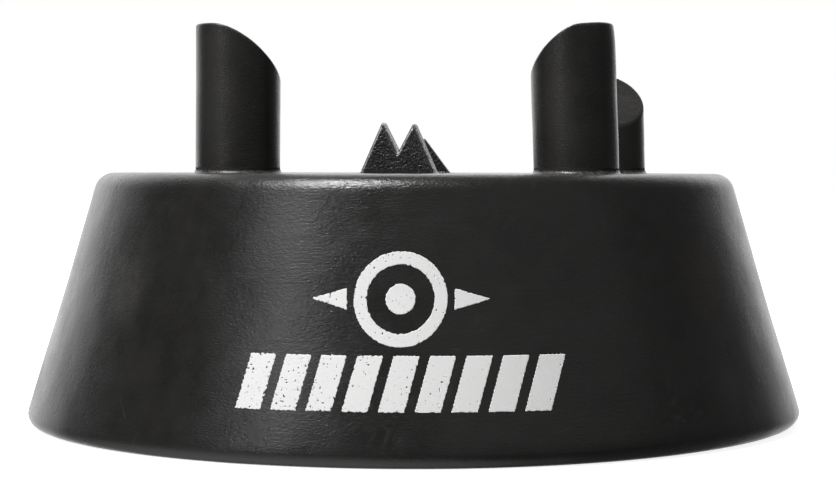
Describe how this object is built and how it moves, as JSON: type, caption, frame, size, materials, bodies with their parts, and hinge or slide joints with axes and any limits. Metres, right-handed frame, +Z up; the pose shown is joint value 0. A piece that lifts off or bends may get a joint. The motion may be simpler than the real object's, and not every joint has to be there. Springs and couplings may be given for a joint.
{
  "type": "rugby kicking tee",
  "caption": "Moulded rubber kicking tee: a hollow cone with a flat deck, slanted posts that cradle a rugby ball and toothed plates that grip its tip.",
  "frame": {"origin": "centre of the footprint, on the ground", "axes": "+Z up from the ground to the deck and posts; -Y towards the printed front with the tall posts; +X to the right seen from the front"},
  "size_m": [0.15, 0.15, 0.0754],
  "materials": {
    "body_rubber": "satin, fine horizontal grain, dull bloom and light scuffs",
    "post_rubber": "satin, fine grain, worn edges",
    "tooth_rubber": "semi-gloss, rough pebbled faces",
    "white_ink": "matt, thin printed film with ragged edges"
  },
  "bodies": {
    "base": {"skirt": "body_rubber", "deck": "body_rubber", "ground_ring": "body_rubber", "tip_cup": "body_rubber", "front_left_root": "body_rubber", "front_right_root": "body_rubber", "rear_left_root": "body_rubber", "rear_right_root": "body_rubber", "web_1": "body_rubber", "web_2": "body_rubber", "web_3": "body_rubber", "web_4": "body_rubber", "web_5": "body_rubber", "web_6": "body_rubber", "front_print": "white_ink", "front_tooth_plate": "tooth_rubber", "rear_tooth": "tooth_rubber"},
    "front_left_post_body": {"front_left_post": "post_rubber"},
    "front_right_post_body": {"front_right_post": "post_rubber"},
    "rear_left_post_body": {"rear_left_post": "post_rubber"},
    "rear_right_post_body": {"rear_right_post": "post_rubber"}
  },
  "joints": [
    {"name": "front_left_flex", "type": "hinge", "parent": "base", "child": "front_left_post_body", "pos_m": [-0.0312, -0.026, 0.0478], "axis": [1, 0, 0], "range_deg": [-15, 15], "stiffness_Nm_per_rad": 0.8},
    {"name": "front_right_flex", "type": "hinge", "parent": "base", "child": "front_right_post_body", "pos_m": [0.0312, -0.026, 0.0478], "axis": [1, 0, 0], "range_deg": [-15, 15], "stiffness_Nm_per_rad": 0.8},
    {"name": "rear_left_flex", "type": "hinge", "parent": "base", "child": "rear_left_post_body", "pos_m": [-0.0386, 0.025, 0.0478], "axis": [1, 0, 0], "range_deg": [-15, 15], "stiffness_Nm_per_rad": 1.1},
    {"name": "rear_right_flex", "type": "hinge", "parent": "base", "child": "rear_right_post_body", "pos_m": [0.0386, 0.025, 0.0478], "axis": [1, 0, 0], "range_deg": [-15, 15], "stiffness_Nm_per_rad": 1.1}
  ]
}
